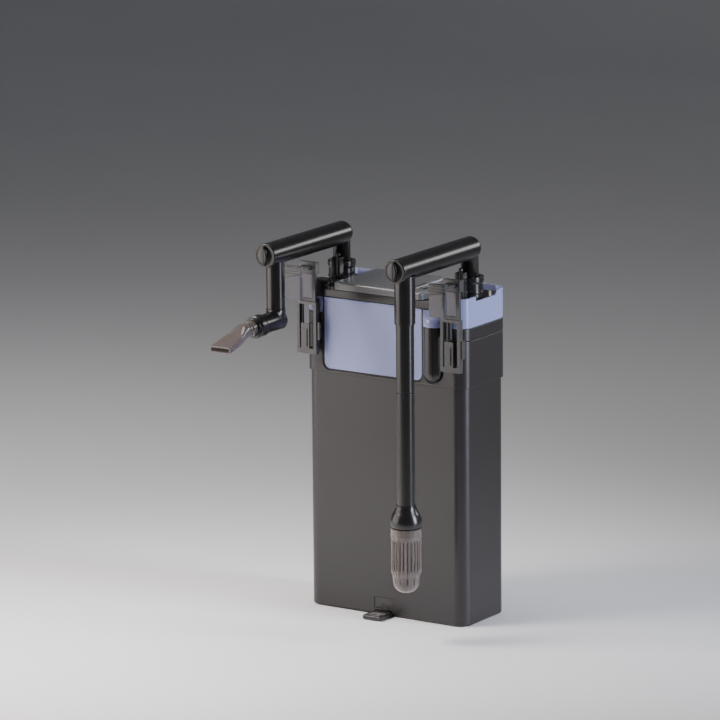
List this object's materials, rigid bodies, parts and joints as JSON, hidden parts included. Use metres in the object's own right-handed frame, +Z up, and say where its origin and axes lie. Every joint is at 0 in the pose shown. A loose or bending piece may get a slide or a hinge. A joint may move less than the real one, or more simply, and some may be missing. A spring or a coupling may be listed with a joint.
{
  "type": "hang-on-back aquarium filter",
  "caption": "Hang-on aquarium filter: canister with window and lid, rim hooks, swivelling outlet arm with fan nozzle and intake arm with telescopic tube and strainer.",
  "frame": {"origin": "centre of the canister's flat bottom", "axes": "+Z up, -Y towards the tank's glass, +X to the right as seen from inside the tank"},
  "size_m": [0.1722, 0.237, 0.3427],
  "materials": {
    "charcoal": "satin moulded plastic",
    "black": "satin moulded plastic",
    "gloss_black": "glossy moulded plastic",
    "lid_grey": "satin moulded plastic",
    "clear_blue": "blue-grey translucent plastic",
    "clear_smoke": "smoky translucent plastic",
    "rubber": "soft matt rubber",
    "sponge": "open-cell foam",
    "ceramic": "porous ceramic",
    "magnet": "plastic-bonded magnet"
  },
  "bodies": {
    "body": {"canister": "charcoal", "foot_guide": "charcoal", "seam_gasket": "rubber", "upper_housing": "charcoal", "housing_band": "charcoal", "column_cover": "gloss_black", "clear_ring": "clear_blue", "front_window": "clear_blue", "window_gasket": "rubber", "top_deck": "gloss_black", "pump_hatch": "gloss_black", "cable_gland": "rubber", "media_basket": "black", "coarse_sponge": "sponge", "bio_media": "ceramic", "fine_pad": "sponge", "partition": "black", "pump_body": "black", "pump_cover": "black", "impeller_shaft": "ceramic", "upper_bush": "rubber", "lower_bush": "rubber", "outlet_riser": "black", "intake_duct": "black", "downpipe": "black", "outlet_socket": "gloss_black", "intake_socket": "gloss_black", "hook_frame_left": "black", "hook_pad_left": "clear_blue", "hook_frame_right": "black", "hook_pad_right": "clear_blue"},
    "foot": {"foot_pad": "charcoal"},
    "lid_group": {"lid": "lid_grey", "lid_seal": "rubber"},
    "impeller_group": {"impeller": "magnet"},
    "outlet_pipe": {"outlet_arm": "gloss_black", "outlet_oring": "rubber", "outlet_drop_tube": "gloss_black"},
    "outlet_flow_knob": {"outlet_knob": "gloss_black"},
    "outlet_pin": {"outlet_latch_pin": "gloss_black"},
    "outlet_bend": {"outlet_elbow": "gloss_black"},
    "nozzle": {"nozzle_collar": "gloss_black", "spray_nozzle": "clear_smoke"},
    "intake_pipe": {"intake_arm": "gloss_black", "intake_oring": "rubber", "intake_sleeve": "gloss_black"},
    "intake_flow_knob": {"intake_knob": "gloss_black"},
    "intake_pin": {"intake_latch_pin": "gloss_black"},
    "intake_tube": {"intake_middle_tube": "gloss_black", "intake_lower_tube": "gloss_black", "bell_adapter": "gloss_black"},
    "strainer_group": {"strainer": "clear_smoke"},
    "slider_left": {"hook_slider_left": "black"},
    "slider_right": {"hook_slider_right": "black"},
    "jaw_left": {"hook_grip_left": "black", "hook_jaw_left": "clear_blue"},
    "jaw_right": {"hook_grip_right": "black", "hook_jaw_right": "clear_blue"}
  },
  "joints": [
    {"name": "foot_slide", "type": "slide", "parent": "body", "child": "foot", "axis": [0, 1, 0], "range_m": [0, 0.0132]},
    {"name": "lid_lift", "type": "slide", "parent": "body", "child": "lid_group", "axis": [0, 0, 1], "range_m": [0, 0.06]},
    {"name": "impeller_spin", "type": "hinge", "parent": "body", "child": "impeller_group", "pos_m": [0.037, 0.007, 0.24], "axis": [0, 0, 1], "continuous": true},
    {"name": "outlet_arm_swivel", "type": "hinge", "parent": "body", "child": "outlet_pipe", "pos_m": [-0.0666, 0, 0.3], "axis": [0, 0, 1], "range_deg": [-20, 20]},
    {"name": "outlet_flow_turn", "type": "hinge", "parent": "outlet_pipe", "child": "outlet_flow_knob", "pos_m": [-0.0666, -0.1166, 0.332], "axis": [0, 1, 0], "range_deg": [0, 90]},
    {"name": "outlet_pin_pull", "type": "slide", "parent": "body", "child": "outlet_pin", "axis": [0, 0, 1], "range_m": [0, 0.0035]},
    {"name": "intake_arm_swivel", "type": "hinge", "parent": "body", "child": "intake_pipe", "pos_m": [0.0666, 0, 0.3], "axis": [0, 0, 1], "range_deg": [-20, 20]},
    {"name": "intake_flow_turn", "type": "hinge", "parent": "intake_pipe", "child": "intake_flow_knob", "pos_m": [0.0666, -0.1166, 0.332], "axis": [0, 1, 0], "range_deg": [0, 90]},
    {"name": "intake_pin_pull", "type": "slide", "parent": "body", "child": "intake_pin", "axis": [0, 0, 1], "range_m": [0, 0.0035]},
    {"name": "outlet_elbow_swivel", "type": "hinge", "parent": "outlet_pipe", "child": "outlet_bend", "pos_m": [-0.0666, -0.1043, 0.2828], "axis": [0, 0, 1], "range_deg": [-60, 60]},
    {"name": "nozzle_twist", "type": "hinge", "parent": "outlet_bend", "child": "nozzle", "pos_m": [-0.0666, -0.137, 0.2718], "axis": [0, 1, 0], "range_deg": [-90, 90]},
    {"name": "intake_telescope", "type": "slide", "parent": "intake_pipe", "child": "intake_tube", "axis": [0, 0, -1], "range_m": [0, 0.03]},
    {"name": "strainer_pull", "type": "slide", "parent": "intake_tube", "child": "strainer_group", "axis": [0, 0, -1], "range_m": [0, 0.02]},
    {"name": "slider_left_down", "type": "slide", "parent": "body", "child": "slider_left", "axis": [0, 0, -1], "range_m": [0, 0.012]},
    {"name": "jaw_left_close", "type": "slide", "parent": "body", "child": "jaw_left", "axis": [0, 1, 0], "range_m": [0, 0.01]},
    {"name": "slider_right_down", "type": "slide", "parent": "body", "child": "slider_right", "axis": [0, 0, -1], "range_m": [0, 0.012]},
    {"name": "jaw_right_close", "type": "slide", "parent": "body", "child": "jaw_right", "axis": [0, 1, 0], "range_m": [0, 0.01]}
  ]
}
